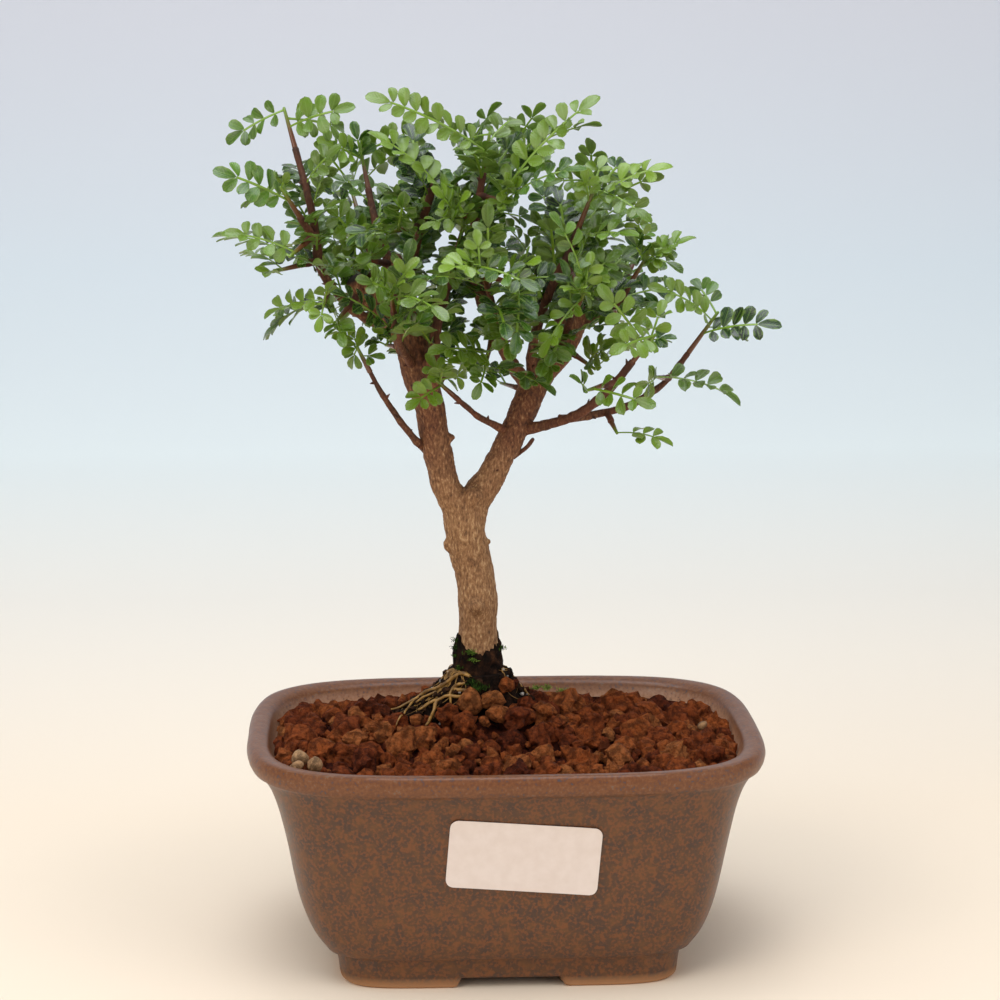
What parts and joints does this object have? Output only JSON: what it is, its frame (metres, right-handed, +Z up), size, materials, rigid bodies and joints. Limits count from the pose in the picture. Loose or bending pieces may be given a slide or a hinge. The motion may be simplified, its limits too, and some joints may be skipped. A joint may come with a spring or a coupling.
{
  "type": "chinese pepper bonsai in pot",
  "caption": "Forked pepper-tree bonsai with pinnate fronds, rooted in peat and clay granules in a glazed rounded-rectangular footed pot with a blank label.",
  "frame": {"origin": "on the surface the pot stands on, under the middle of the whole object's box", "axes": "+Z up; +X along the pot's length, to the right in the picture; -Y out of the front wall that carries the label"},
  "size_m": [0.1519, 0.1095, 0.241],
  "materials": {
    "brown_glaze": "gloss",
    "clay_granules": "matte",
    "dark_peat": "matte",
    "label_paper": "satin",
    "black_plastic_mesh": "matte",
    "bark": "matte",
    "leaf": "gloss"
  },
  "bodies": {
    "root": {"pot": "brown_glaze", "soil": "clay_granules", "root_ball": "dark_peat", "label": "label_paper", "drain_mesh_left": "black_plastic_mesh", "drain_mesh_right": "black_plastic_mesh", "tree": "bark", "spray_apex": "leaf", "spray_apex_right": "leaf", "spray_apex_left": "leaf", "spray_crown_left": "leaf", "spray_far_left_high": "leaf", "spray_far_left_mid": "leaf", "spray_far_left_low": "leaf", "spray_left_low": "leaf", "spray_stub_left": "leaf", "spray_limb_left": "leaf", "spray_bare_tip": "leaf", "spray_upper_left": "leaf", "spray_inner_left": "leaf", "spray_mid_left": "leaf", "spray_knuckle": "leaf", "spray_back_centre": "leaf", "spray_centre_right": "leaf", "spray_centre_front": "leaf", "spray_cross_twig": "leaf", "spray_right_end": "leaf", "spray_right_tip": "leaf", "spray_right_mid": "leaf", "spray_right_under": "leaf", "spray_right_fork": "leaf", "spray_upper_right": "leaf", "spray_upper_right_low": "leaf", "spray_upper_right_back": "leaf", "spray_riser": "leaf", "spray_limb_right": "leaf", "spray_limb_back": "leaf", "spray_rear_left": "leaf", "spray_rear_left_low": "leaf", "spray_rear_centre": "leaf", "spray_rear_centre_low": "leaf", "spray_rear_right": "leaf", "spray_rear_right_low": "leaf", "spray_rear_far_right": "leaf", "spray_rear_far_right_low": "leaf", "spray_rear_low": "leaf", "spray_front_left": "leaf", "spray_front_centre": "leaf", "spray_front_right": "leaf", "spray_top_rear": "leaf", "spray_limb_top": "leaf"}
  },
  "joints": []
}
